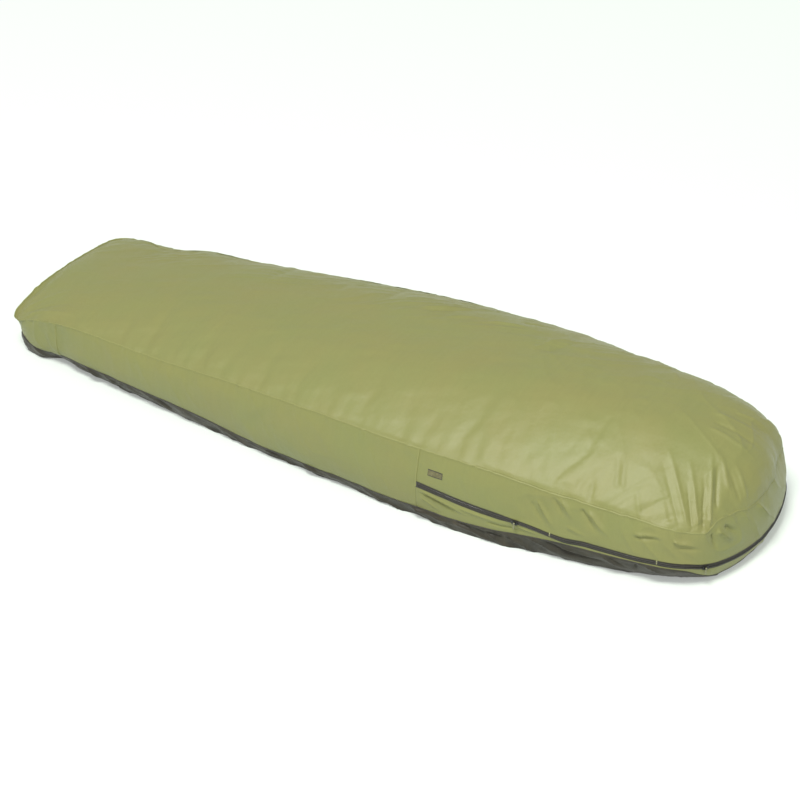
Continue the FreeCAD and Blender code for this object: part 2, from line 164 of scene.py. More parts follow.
def through(stations, at):
    """A smooth curve through (position, value) stations that never swings past them."""
    place = np.array([p for p, value in stations])
    value = np.array([v for p, v in stations])
    steps = np.diff(value) / np.diff(place)
    before, after = steps[:-1], steps[1:]
    turns = before * after <= 0
    inner = 2 * before * after / np.where(turns, 1.0, before + after)
    slope = np.concatenate([steps[:1], np.where(turns, 0.0, inner), steps[-1:]])
    at = np.clip(np.asarray(at, float), place[0], place[-1])
    index = np.clip(np.searchsorted(place, at) - 1, 0, len(place) - 2)
    gap = place[index + 1] - place[index]
    t = (at - place[index]) / gap
    rise = value[index + 1] - value[index]
    return (value[index] + rise * t * t * (3 - 2 * t)
            + gap * slope[index] * t * (1 - t) ** 2
            - gap * slope[index + 1] * t * t * (1 - t))


LATTICE_SIZE = 64
LATTICE = np.random.default_rng(11).uniform(-1, 1, (LATTICE_SIZE, LATTICE_SIZE))


def noise(u, v):
    """Smooth noise from -1 to 1 over a plane, about one bump per unit."""
    column = np.floor(u).astype(int)
    row = np.floor(v).astype(int)
    fu = ease(u - column)
    fv = ease(v - row)

    def corner(i, j):
        return LATTICE[(column + i) % LATTICE_SIZE, (row + j) % LATTICE_SIZE]

    low = corner(0, 0) * (1 - fu) + corner(1, 0) * fu
    high = corner(0, 1) * (1 - fu) + corner(1, 1) * fu
    return low * (1 - fv) + high * fv


def pleats(u, v):
    """Narrow ridges with wide flat valleys between them, from 0 to 1."""
    return (1 - np.abs(noise(u, v))) ** 4


def bump(distance, width):
    """A round bump of height 1 that dies away past width."""
    return np.exp(-(distance / width) ** 2)


def fold_profile(distance, width):
    """A sharp crest of height 1 with hollow sides, like a crease in thin cloth."""
    blunt = 0.3 * width
    return np.exp(-(np.hypot(distance, blunt) - blunt) / (0.62 * width))


def crease(u, v, start, end, width):
    """A ridge of height 1 from start, where it is pinched, to end, where it runs out."""
    du, dv = end[0] - start[0], end[1] - start[1]
    length = math.hypot(du, dv)
    along = ((u - start[0]) * du + (v - start[1]) * dv) / length ** 2
    across = ((v - start[1]) * du - (u - start[0]) * dv) / length
    across = across + 0.25 * width * noise(along * 3.1 + 40 * width, start[0] * 9)
    spread = width * (0.65 + 0.6 * np.clip(along, 0, 1))
    return fold_profile(across, spread) * ease(7 * along) * ease(1.7 * (1 - along))


# ------------------------ heights of the bag
SEAM_INSET = 0.018
ZIP_START = 0.320
ZIP_START_HEIGHT = 0.106
ZIP_TILT = math.tan(math.radians(3.4))
SIDE_EDGE = [(-0.64, 0.161), (-0.24, 0.195), (0.10, 0.2120), (0.43, 0.2125)]
NEAR_EDGE = ([(-1.148, 0.088), (-1.10, 0.108), (-1.00, 0.140), (-0.90, 0.152)] + SIDE_EDGE
             + [(0.72, 0.193), (0.90, 0.180), (1.15, 0.160)])
FAR_EDGE = ([(-1.148, 0.104), (-1.05, 0.130), (-0.96, 0.149), (-0.85, 0.153), (-0.76, 0.157)]
            + SIDE_EDGE + [(0.72, 0.197), (0.90, 0.190), (1.15, 0.160)])
# From the shoulder on the seam's height goes by run.  On the near side it sinks to a pinched
# corner and rises again; on the far side it sinks evenly.
HEAD_EDGE = [(2.10, 0.1955), (2.127, 0.193), (2.206, 0.188), (2.262, 0.183), (2.319, 0.178),
             (2.372, 0.173), (2.417, 0.168), (2.457, 0.160), (2.492, 0.157), (2.527, 0.156),
             (2.545, 0.160), (2.565, 0.168), (2.60, 0.170), (2.64, 0.168), (2.70, 0.159),
             (2.768, 0.160)]
FAR_HEAD_EDGE = [(2.10, 0.1965), (2.206, 0.193), (2.319, 0.186), (2.40, 0.175), (2.457, 0.165),
                 (2.52, 0.156), (2.60, 0.156), (2.70, 0.160), (2.768, 0.160)]
RIDGE_HEIGHTS = [(-1.148, 0.140), (-0.72, 0.202), (-0.30, 0.247), (0.08, 0.290), (0.45, 0.316),
                 (0.75, 0.322)]
RIM_HEIGHTS = [(-1.15, 0.062), (-1.09, 0.056), (-1.05, 0.040), (-0.97, 0.036), (-0.88, 0.046),
               (-0.50, 0.047), (-0.24, 0.032), (0.25, 0.034),
               (0.46, 0.039), (0.62, 0.050), (0.74, 0.060), (0.90, 0.059), (1.00, 0.057),
               (1.05, 0.051), (1.085, 0.030), (1.11, 0.011), (1.15, 0.008)]
SEAM_INSETS = [(-1.15, 0.002), (-1.02, 0.004), (-0.80, 0.015), (-0.62, 0.018), (1.04, 0.018),
               (1.09, 0.012), (1.105, 0.020), (1.118, 0.028), (1.134, 0.026), (1.145, 0.018),
               (1.15, 0.017)]
FAR_DIP = (-0.95, 0.080, 0.050)
BELT_INSETS = [(-1.15, 0.030), (-1.10, 0.014), (-1.07, 0.005), (-1.03, 0.002), (-0.95, 0.004),
               (-0.85, 0.0), (1.15, 0.0)]
GROUND_INSETS = [(-1.15, 0.062), (-1.13, 0.045), (-1.09, 0.018), (-1.04, 0.016), (-1.01, 0.030),
                 (-0.98, 0.050), (-0.83, 0.040), (-0.50, 0.030), (-0.24, 0.022), (-0.08, 0.032),
                 (0.10, 0.032), (0.25, 0.022), (0.58, 0.010), (0.72, 0.023), (0.82, 0.028),
                 (0.92, 0.040), (1.03, 0.060), (1.09, 0.044), (1.12, 0.028), (1.15, 0.022)]
ZIP_SWAY = [(0.32, 0.0075), (0.40, 0.004), (0.46, 0.001), (0.52, 0.0), (0.62, 0.0), (0.66, -0.002),
            (0.70, -0.006), (0.74, -0.008), (0.80, -0.001), (0.87, 0.0), (0.935, 0.001),
            (1.00, 0.005), (1.05, 0.005), (1.09, 0.0), (1.12, -0.004), (1.15, -0.012)]
BELT_HEIGHTS = [(-1.15, 0.060), (-0.64, 0.088), (-0.20, 0.102), (0.32, 0.113)]
CROWN_POWER = 2.2
# How the top comes down to the seam: 0.5 is upright, 1 a plain slope.
FAR_ROLL = 0.50
NEAR_ROLL = 1.0
ROLL_REACH = 0.20
WALL_POWER = 2.2
# The far side's scoop stands more upright: this is added to the wall's power there.
DIP_POWER = 3.2
DIP_REACH = 0.09
# Where the seam's height stops going by x and goes by run.
HEAD_BLEND = (0.60, 0.72)
PUCKER_DEPTH = 0.0011
PUCKER_PITCH = 0.014
ZIP_CLEAR = 0.012
HEAD_CENTRE = 0.75


def seam_inset(x, y):
    """How far the top seam lies inside the outline; it is drawn in at the far side's scoop."""
    centre, half, depth = FAR_DIP
    return through(SEAM_INSETS, x) + np.where(y > 0, depth * bump(x - centre, half), 0.0)


def virtual_half_width(x, y):
    """Half the width at the top seam, as if the foot corners were square."""
    side = FOOT_HALF + (x + HALF_LENGTH - FOOT_RADIUS) * math.tan(SIDE_ANGLE) - seam_inset(x, y)
    beside, angle = plan(run_at(np.maximum(x, SIDE_END)))[1:]
    shoulder = -(beside - SEAM_INSET * np.sin(angle))
    return np.where(x < SIDE_END, side, shoulder)


def seam_plan(run):
    """The top seam in plan."""
    x, y, angle = plan(run)
    inset = seam_inset(x, y)
    return x - inset * np.cos(angle), y - inset * np.sin(angle)


def mirrored(run):
    """The run on the near side at the same place along the bag."""
    run = np.asarray(run, float) % (2 * HALF_RUN)
    return np.minimum(run, 2 * HALF_RUN - run)


def edge_height(x, share):
    """Height of the top seam beside a point; share is -1 at the near side, 1 at the far."""
    far = ease((share + 1) / 2)
    return through(NEAR_EDGE, x) * (1 - far) + through(FAR_EDGE, x) * far


def head_edge_height(run, y):
    """Height of the top seam round the head; run is the near side's, y tells which side."""
    return np.where(y > 0, through(FAR_HEAD_EDGE, run), through(HEAD_EDGE, run))


HEAD_RUNS = np.linspace(run_at(HEAD_CENTRE - 0.05), HALF_RUN, 400)
HEAD_X, HEAD_Y = seam_plan(HEAD_RUNS)
HEAD_TURNS = np.arctan2(-HEAD_Y, HEAD_X - HEAD_CENTRE)
HEAD_REACHES = np.hypot(HEAD_Y, HEAD_X - HEAD_CENTRE)


def round_head(x, y, values):
    """A value listed along the head's seam, in the direction of x, y from HEAD_CENTRE."""
    turn = np.arctan2(np.abs(y), x - HEAD_CENTRE)
    return np.interp(turn, HEAD_TURNS[::-1], values[::-1])


def crown(x, y):
    """Height of the puffed top over the plan."""
    x = np.asarray(x, float)
    y = np.asarray(y, float)
    head_reach = round_head(x, y, HEAD_REACHES)
    head_edge = head_edge_height(round_head(x, y, HEAD_RUNS), y)
    in_head = x > HEAD_CENTRE
    side_share = y / virtual_half_width(np.minimum(x, HEAD_CENTRE + 0.1), y)
    share = np.where(in_head, np.hypot(y, x - HEAD_CENTRE) / head_reach, np.abs(side_share))
    edge = np.where(in_head, head_edge, edge_height(x, side_share))
    ridge = through(RIDGE_HEIGHTS, x)
    roll = FAR_ROLL + (NEAR_ROLL - FAR_ROLL) * ease(-y / ROLL_REACH)
    return edge + (ridge - edge) * (1 - np.clip(share, 0, 1) ** CROWN_POWER) ** roll


def seam_height(run):
    """Height of the top seam, all the way round."""
    x, y = seam_plan(run)
    side = edge_height(x, np.sign(y))
    to_head = ease((x - HEAD_BLEND[0]) / (HEAD_BLEND[1] - HEAD_BLEND[0]))
    side = side * (1 - to_head) + head_edge_height(mirrored(run), y) * to_head
    pucker = PUCKER_DEPTH * to_head * noise(np.asarray(run) / PUCKER_PITCH, 3.3)
    height = np.where(plan(run)[0] < -HALF_LENGTH + FOOT_RADIUS, crown(x, y), side)
    return height + pucker


def zip_height(run):
    """Height of the middle of the zip, which dips and lifts a little on its way."""
    x = plan(run)[0]
    return ZIP_START_HEIGHT - ZIP_TILT * (x - ZIP_START) + through(ZIP_SWAY, x)


def belt_height(run):
    """Height of the widest line of the wall, which is the zip from the zip's start on."""
    x = plan(run)[0]
    return np.where(x < ZIP_START, through(BELT_HEIGHTS, x), zip_height(run))


def rim_height(run):
    """Top edge of the dark tub floor."""
    return through(RIM_HEIGHTS, plan(run)[0])


# Folds as (start, end, half width, height out of the cloth); a fold with a height below 0 is
# a groove.  The side's, strip's and floor's are in (run, height), the top's in (x, y).
SIDE_FOLDS = [
    ((2.205, 0.176), (2.275, 0.108), 0.007, 0.006),
    ((2.185, 0.176), (2.240, 0.112), 0.006, -0.005),
    ((2.127, 0.194), (2.172, 0.130), 0.006, 0.005),
    ((2.108, 0.190), (2.150, 0.128), 0.005, -0.004),
    ((2.066, 0.170), (2.124, 0.090), 0.005, 0.005),
    ((2.050, 0.160), (2.100, 0.092), 0.005, -0.003),
    ((2.150, 0.115), (2.215, 0.098), 0.005, 0.003),
    ((2.330, 0.131), (2.410, 0.137), 0.005, -0.004),
    ((2.325, 0.140), (2.420, 0.147), 0.005, 0.003),
    ((2.430, 0.140), (2.500, 0.118), 0.006, 0.005),
    ((2.445, 0.122), (2.520, 0.106), 0.005, -0.003),
    ((2.560, 0.150), (2.615, 0.100), 0.008, 0.007),
    ((2.590, 0.150), (2.640, 0.112), 0.006, -0.006),
    ((2.540, 0.148), (2.555, 0.095), 0.005, -0.005),
    ((2.655, 0.165), (2.700, 0.100), 0.007, 0.004),
    ((2.720, 0.160), (2.780, 0.085), 0.008, 0.004),
    ((0.270, 0.108), (0.385, 0.124), 0.005, -0.005),
    ((0.260, 0.118), (0.400, 0.134), 0.005, 0.004),
    ((0.345, 0.070), (0.425, 0.064), 0.005, -0.006),
    ((0.335, 0.055), (0.430, 0.048), 0.005, 0.004),
    ((0.300, 0.085), (0.360, 0.105), 0.007, 0.003),
]
STRIP_FOLDS = [
    ((1.733, 0.099), (1.905, 0.064), 0.0035, 0.005),
    ((1.733, 0.091), (1.880, 0.058), 0.0035, -0.006),
    ((1.735, 0.076), (1.810, 0.046), 0.004, 0.003),
    ((1.840, 0.083), (2.020, 0.071), 0.004, 0.004),
    ((1.930, 0.064), (2.060, 0.066), 0.004, -0.004),
    ((2.010, 0.078), (2.100, 0.066), 0.003, 0.004),
]
FLOOR_FOLDS = [
    ((2.085, 0.056), (2.200, 0.020), 0.004, -0.011),
    ((2.135, 0.034), (2.290, 0.030), 0.004, -0.009),
    ((2.120, 0.050), (2.250, 0.036), 0.004, 0.005),
    ((1.880, 0.030), (2.060, 0.034), 0.004, -0.006),
    ((1.690, 0.028), (1.900, 0.022), 0.004, 0.004),
    ((1.150, 0.024), (1.350, 0.026), 0.004, -0.005),
    ((0.620, 0.026), (0.820, 0.030), 0.004, 0.004),
    ((2.345, 0.062), (2.335, 0.030), 0.004, -0.009),
    ((2.360, 0.056), (2.440, 0.020), 0.004, 0.005),
    ((2.250, 0.055), (2.320, 0.018), 0.005, 0.005),
    ((2.265, 0.055), (2.335, 0.022), 0.004, -0.005),
    ((1.980, 0.044), (2.060, 0.014), 0.005, 0.005),
    ((1.840, 0.038), (1.930, 0.012), 0.005, -0.005),
    ((1.700, 0.036), (1.780, 0.010), 0.005, 0.005),
    ((1.520, 0.032), (1.600, 0.008), 0.005, -0.004),
    ((1.350, 0.032), (1.420, 0.008), 0.006, 0.005),
    ((0.420, 0.034), (0.440, 0.004), 0.005, -0.008),
    ((0.560, 0.044), (0.620, 0.008), 0.006, 0.005),
    ((0.820, 0.046), (0.900, 0.008), 0.006, -0.005),
]


def folds(u, v, lines):
    """All the folds of a list, laid over one another."""
    return sum(height * crease(u, v, start, end, width) for start, end, width, height in lines)


def wall_relief(run, height):
    """How far folds push the side cloth outward."""
    belt = belt_height(run)
    rim = rim_height(run)
    lift = np.clip((height - belt) / (seam_height(run) - belt), -1.5, 1)
    x = plan(run)[0]
    on_zip = np.where(x > ZIP_START - 0.02, bump(height - belt, ZIP_CLEAR), 0.0)
    soft = 0.0040 * noise(run / 0.21, height / 0.11 + 3.1)
    upright = 0.0022 * noise(run / 0.045 + 1.7 * noise(run / 0.3, height / 0.1), height / 0.16)
    busy = 0.35 + 0.65 * ease((x - 0.55) / 0.3) + 0.5 * ease((-0.85 - x) / 0.15)
    slant = (run + 0.6 * height) / 0.055 + 0.5 * noise(run / 0.15, height / 0.07)
    crinkle = 0.0030 * busy * (pleats(slant, height / 0.09 + 5.5) - 0.3)
    crinkle = crinkle + 0.0009 * busy * noise(run / 0.022 + height / 0.03, height / 0.035)
    drawn = 1.4 * folds(run, height, SIDE_FOLDS) * ease(6.0 * (1 - lift)) + crinkle
    drawn = drawn + folds(run, height, STRIP_FOLDS)
    pucker = 0.0014 * noise(run / 0.012, height / 0.05) * bump(1 - lift, 0.25)
    above_rim = ease((height - rim) / 0.012)
    return ((soft + upright) * ease(2.2 * (1 - lift)) + drawn * above_rim) * (1 - on_zip) + pucker


def wall(run, height, out=0.0):
    """Points of the side cloth at runs and heights, moved outward by out."""
    run, height = np.broadcast_arrays(np.asarray(run, float), np.asarray(height, float))
    x, y, angle = plan(run)
    belt = belt_height(run)
    above = np.clip((height - belt) / (seam_height(run) - belt), 0, None)
    below = np.clip((belt - height) / belt, 0, 1)
    widest = through(BELT_INSETS, x)
    boxy = WALL_POWER + np.where(y > 0, DIP_POWER * bump(x - FAR_DIP[0], DIP_REACH), 0.0)
    inset = (widest + (seam_inset(x, y) - widest) * above ** boxy
             + (through(GROUND_INSETS, x) - widest) * below ** WALL_POWER)
    inset = inset - wall_relief(run, height) - out
    return np.stack([x - inset * np.cos(angle), y - inset * np.sin(angle), height], axis=-1)


# ------------------------ meshes
def new_object(name, points, faces, coords=None):
    """A mesh object from numpy points; coords are flat cloth coordinates in metres."""
    mesh = bpy.data.meshes.new(name)
    mesh.from_pydata(np.asarray(points, float).reshape(-1, 3).tolist(), [], faces)
    if coords is not None:
        flat = mesh.uv_layers.new(name="cloth")
        corners = np.empty(len(mesh.loops), int)
        mesh.loops.foreach_get("vertex_index", corners)
        flat.data.foreach_set("uv", np.asarray(coords, float).reshape(-1, 2)[corners].ravel())
    mesh.polygons.foreach_set("use_smooth", [True] * len(mesh.polygons))
    piece = bpy.data.objects.new(name, mesh)
    bpy.context.scene.collection.objects.link(piece)
    return piece


def grid_faces(rows, columns, wrap=False):
    """Quads of a grid whose points are in row order; wrap joins the last row to the first."""
    last = rows if wrap else rows - 1
    i, j = np.meshgrid(np.arange(last), np.arange(columns - 1), indexing="ij")
    here = (i * columns + j).ravel()
    beyond = (((i + 1) % rows) * columns + j).ravel()
    return np.stack([here, beyond, beyond + 1, here + 1], axis=1).tolist()


def face_outward(piece):
    """Turn every face of a closed mesh outward."""
    work = bmesh.new()
    work.from_mesh(piece.data)
    bmesh.ops.recalc_face_normals(work, faces=work.faces)
    work.to_mesh(piece.data)
    work.free()


def thicken(piece, thickness):
    """Give open cloth its thickness, on the inner side."""
    solid = piece.modifiers.new("thickness", "SOLIDIFY")
    solid.thickness = thickness
    solid.offset = -1
    return piece


def sleeve(name, rings):
    """A closed bar: rings is an array of sections along it, each a loop of points."""
    count, around = rings.shape[:2]
    faces = []
    for i in range(around):
        j = (i + 1) % around
        faces += [(k * around + i, k * around + j, (k + 1) * around + j, (k + 1) * around + i)
                  for k in range(count - 1)]
    faces.append(tuple(range(around)))
    faces.append(tuple((count - 1) * around + i for i in reversed(range(around))))
    piece = new_object(name, rings, faces)
    face_outward(piece)
    piece.data.set_sharp_from_angle(angle=math.radians(50))
    return piece


def band(name, runs, heights, section):
    """A strip sewn along the wall; section lists its corners as (up, out) offsets."""
    return sleeve(name, np.stack([wall(runs, heights + up, out) for up, out in section], axis=1))


def wall_strip(name, runs, low, high):
    """A flat strip along the wall between two height curves."""
    inner, outer = -0.0012, 0.0004
    corners = [(low, inner), (high, inner), (high, outer), (low, outer)]
    return sleeve(name, np.stack([wall(runs, height, out) for height, out in corners], axis=1))


def upright(name, run, low, high, section):
    """A strip sewn up the wall; section lists its corners as (along, out) offsets."""
    heights = np.linspace(low, high, 40)
    return sleeve(name, np.stack([wall(run + along, heights, out) for along, out in section],
                                 axis=1))


def ribbon(low, high, inner, outer, steps=2):
    """Section of a flat strip, with steps points across it so that it follows the wall."""
    across = np.linspace(low, high, steps)
    return [(up, inner) for up in across] + [(up, outer) for up in across[::-1]]


def raised(half, inner, outer):
    """Section of a rounded raised seam."""
    return [(-half, inner), (half, inner), (half * 0.85, outer * 0.7), (half * 0.4, outer),
            (-half * 0.4, outer), (-half * 0.85, outer * 0.7)]


def runs_between(first, last, step):
    return np.linspace(first, last, max(3, int(abs(last - first) / step)))


# ------------------------ materials
class Shader:
    """A Principled material with helpers that add texture nodes to it."""

    def __init__(self, name, roughness, metallic=0.0, sheen=0.0, coat=0.0):
        self.material = bpy.data.materials.new(name)
        self.material.use_nodes = True
        self.tree = self.material.node_tree
        self.surface = self.tree.nodes["Principled BSDF"]
        self.surface.inputs["Roughness"].default_value = roughness
        self.surface.inputs["Metallic"].default_value = metallic
        self.surface.inputs["Sheen Weight"].default_value = sheen
        self.surface.inputs["Sheen Roughness"].default_value = 0.45
        self.surface.inputs["Coat Weight"].default_value = coat
        self.coordinates = self.tree.nodes.new("ShaderNodeTexCoord")

    def link(self, output, socket):
        self.tree.links.new(output, socket)

    def mapped(self, source, scale):
        """Texture coordinates, source being UV or Object, stretched by scale."""
        mapping = self.tree.nodes.new("ShaderNodeMapping")
        mapping.inputs["Scale"].default_value = scale
        self.link(self.coordinates.outputs[source], mapping.inputs["Vector"])
        return mapping.outputs["Vector"]

    def noise(self, source, scale, detail=3.0, roughness=0.55):
        node = self.tree.nodes.new("ShaderNodeTexNoise")
        node.inputs["Scale"].default_value = 1.0
        node.inputs["Detail"].default_value = detail
        node.inputs["Roughness"].default_value = roughness
        self.link(self.mapped(source, scale), node.inputs["Vector"])
        return node.outputs["Fac"]

    def threads(self, source, pitch, direction):
        """Parallel threads a pitch apart."""
        node = self.tree.nodes.new("ShaderNodeTexWave")
        node.bands_direction = direction
        node.inputs["Scale"].default_value = 1.0
        node.inputs["Distortion"].default_value = 0.6
        node.inputs["Detail"].default_value = 1.0
        step = 0.314 / pitch
        self.link(self.mapped(source, (step, step, step)), node.inputs["Vector"])
        return node.outputs["Fac"]

    def ramp(self, value, colours):
        """Colour stops over a value; colours lists (position, colour)."""
        node = self.tree.nodes.new("ShaderNodeValToRGB")
        stops = node.color_ramp.elements
        while len(stops) < len(colours):
            stops.new(0.5)
        for stop, (position, colour) in zip(stops, colours):
            stop.position = position
            stop.color = (*colour, 1.0)
        self.link(value, node.inputs["Fac"])
        return node.outputs["Color"]

    def blended(self, share, first, second):
        """Two colours mixed, the second by a share."""
        node = self.tree.nodes.new("ShaderNodeMix")
        node.data_type = "RGBA"
        node.inputs["Factor"].default_value = share
        self.link(first, node.inputs["A"])
        self.link(second, node.inputs["B"])
        return node.outputs["Result"]

    def sum(self, first, second):
        node = self.tree.nodes.new("ShaderNodeMath")
        node.operation = "ADD"
        self.link(first, node.inputs[0])
        self.link(second, node.inputs[1])
        return node.outputs["Value"]

    def scaled(self, value, factor, offset):
        node = self.tree.nodes.new("ShaderNodeMath")
        node.operation = "MULTIPLY_ADD"
        node.inputs[1].default_value = factor
        node.inputs[2].default_value = offset
        self.link(value, node.inputs[0])
        return node.outputs["Value"]

    def colour(self, output):
        self.link(output, self.surface.inputs["Base Color"])

    def roughen(self, output):
        self.link(output, self.surface.inputs["Roughness"])

    def relief(self, height, distance, strength):
        node = self.tree.nodes.new("ShaderNodeBump")
        node.inputs["Distance"].default_value = distance
        node.inputs["Strength"].default_value = strength
        self.link(height, node.inputs["Height"])
        if self.surface.inputs["Normal"].is_linked:
            previous = self.surface.inputs["Normal"].links[0].from_socket
            self.link(previous, node.inputs["Normal"])
        self.link(node.outputs["Normal"], self.surface.inputs["Normal"])


# Turns smooth noise into fine lines: dark where the noise passes its middle value.
CREASE_LINES = [(0.42, (1, 1, 1)), (0.50, (0, 0, 0)), (0.58, (1, 1, 1))]


def shaded(colour, factor):
    return tuple(channel * factor for channel in colour)


def coated_nylon(name, colour, roughness=0.46):
    """Silky waterproof nylon: a fine weave, faint streaks along it and soft mottling."""
    shader = Shader(name, roughness, sheen=0.06)
    streaks = shader.noise("UV", (90, 9, 1), 4.0)
    cloud = shader.noise("UV", (5, 5, 1), 3.0)
    tint = shader.ramp(streaks, [(0.30, shaded(colour, 0.965)), (0.70, shaded(colour, 1.035))])
    warm = (colour[0] * 1.05, colour[1] * 0.985, colour[2] * 0.99)
    cool = (colour[0] * 0.95, colour[1] * 1.01, colour[2] * 1.01)
    drift = shader.ramp(cloud, [(0.35, cool), (0.65, warm)])
    shader.colour(shader.blended(0.5, tint, drift))
    weave = shader.sum(shader.threads("UV", 0.0006, "X"), shader.threads("UV", 0.0006, "Y"))
    shader.relief(weave, 0.00008, 0.5)
    shader.relief(shader.noise("UV", (60, 60, 1), 5.0, 0.6), 0.0020, 0.45)
    lines = shader.ramp(shader.noise("UV", (11, 8, 1), 2.0), CREASE_LINES)
    shader.relief(lines, 0.0006, 0.3)
    shader.roughen(shader.scaled(cloud, 0.12, roughness - 0.06))
    return shader.material


def tub_fabric(name, colour):
    """Heavier dark coated cloth with a slight purple shimmer and hard crinkles."""
    shader = Shader(name, 0.46, sheen=0.04, coat=0.03)
    shade = shader.noise("UV", (28, 60, 1), 4.0, 0.6)
    bright = (colour[0] * 1.9, colour[1] * 1.75, colour[2] * 1.8)
    shader.colour(shader.ramp(shade, [(0.35, shaded(colour, 0.6)), (0.62, colour), (0.75, bright)]))
    weave = shader.sum(shader.threads("UV", 0.0009, "X"), shader.threads("UV", 0.0009, "Y"))
    shader.relief(weave, 0.00012, 0.6)
    shader.relief(shader.noise("UV", (120, 120, 1), 5.0, 0.65), 0.003, 0.5)
    return shader.material


def webbing(name, colour, pitch=0.0010, roughness=0.7):
    """Woven tape, with ribs across it."""
    shader = Shader(name, roughness, sheen=0.2)
    shade = shader.noise("Object", (140, 140, 140), 3.0)
    shader.colour(shader.ramp(shade, [(0.3, shaded(colour, 0.75)), (0.7, shaded(colour, 1.25))]))
    weave = shader.sum(shader.threads("Object", pitch, "X"), shader.threads("Object", pitch, "Z"))
    shader.relief(weave, 0.00025, 0.8)
    return shader.material


def moulded(name, colour, roughness):
    """Nylon monofilament or moulded plastic."""
    shader = Shader(name, roughness, coat=0.2)
    shade = shader.noise("Object", (300, 300, 300), 2.0)
    shader.colour(shader.ramp(shade, [(0.3, shaded(colour, 0.8)), (0.7, shaded(colour, 1.3))]))
    shader.relief(shade, 0.0001, 0.5)
    return shader.material


def dark_metal(name, colour):
    """Blackened zinc, worn a little brighter in places."""
    shader = Shader(name, 0.35, metallic=0.9)
    wear = shader.noise("Object", (500, 500, 500), 4.0)
    shader.colour(shader.ramp(wear, [(0.45, colour), (0.75, shaded(colour, 2.2))]))
    shader.roughen(shader.scaled(wear, 0.25, 0.25))
    return shader.material


OLIVE = (0.212, 0.218, 0.070)
LOOKS = {
    "shell": coated_nylon("olive_nylon", OLIVE),
    "seam": coated_nylon("folded_olive_nylon", (0.222, 0.227, 0.075), 0.5),
    "floor": tub_fabric("tub_fabric", (0.036, 0.030, 0.017)),
    "binding": webbing("dark_binding", (0.045, 0.042, 0.038)),
    "tape": webbing("zip_tape", (0.026, 0.023, 0.014), 0.0008, 0.7),
    "coil": moulded("zip_coil", (0.020, 0.018, 0.012), 0.5),
    "inner_tape": webbing("seam_tape", (0.30, 0.31, 0.24), 0.0012, 0.45),
    "label": webbing("label_cloth", (0.150, 0.135, 0.050), 0.0006),
    "label_edge": webbing("label_edge", (0.050, 0.045, 0.026), 0.0006),
    "thread": moulded("thread", (0.30, 0.30, 0.15), 0.6),
    "metal": dark_metal("slider_metal", (0.05, 0.05, 0.052)),
    "tab": moulded("puller_tab", (0.19, 0.19, 0.10), 0.5),
}


def dress(piece, look):
    """Give a piece its material."""
    piece.data.materials.clear()
    piece.data.materials.append(LOOKS[look])
    return piece


def on_sack(piece, *nodes):
    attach(piece, "sack")
    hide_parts(*nodes)


def on_hood(piece, *nodes):
    """Bake the piece's placing into its mesh and hide the parts it replaces."""
    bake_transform(piece)
    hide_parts(*nodes)


def sew(piece, look, slot, hold, *nodes):
    """Dress a piece and hand it to hold, which is on_sack or on_hood."""
    dress(piece, look)
    hold(piece, *nodes)


# ------------------------ top cloth
CLOTH = 0.0009
TOP_COARSE = (190, 80)
SEAM_CORNER = 2.535


def top_corner_runs():
    """Runs of the corners of the top cloth's weave: foot and head, near side."""
    return PIECES[0][0] + PIECES[1][0] / 2, SEAM_CORNER


def coons(near, far, foot, head, u):
    """A net between four edge curves: near and far run along it, foot and head across it;
    u is how far along each point of the long edges lies."""
    v = np.linspace(0, 1, len(foot))
    u0, u1 = (1 - u)[:, None, None], u[:, None, None]
    v0, v1 = (1 - v)[None, :, None], v[None, :, None]
    sides = v0 * near[:, None] + v1 * far[:, None]
    ends = u0 * foot[None] + u1 * head[None]
    corners = (u0 * v0 * near[0] + u0 * v1 * far[0] + u1 * v0 * near[-1] + u1 * v1 * far[-1])
    return sides + ends - corners


def edge_fade(near, far, foot, head, net, reach):
    """Shifts of the four edges, carried into the net and fading within reach."""
    def fade(a, b):
        return np.exp(-(np.linalg.norm(a - b, axis=-1) / reach) ** 2)[..., None]

    from_near = fade(net, net[:, :1])
    from_far = fade(net, net[:, -1:])
    from_foot = fade(net, net[:1])
    from_head = fade(net, net[-1:])
    shift = from_near * near[:, None] + from_far * far[:, None]
    shift = shift + from_foot * foot[None] + from_head * head[None]
    corners = (from_near * from_foot * near[0] + from_far * from_foot * far[0]
               + from_near * from_head * near[-1] + from_far * from_head * far[-1])
    return shift - corners


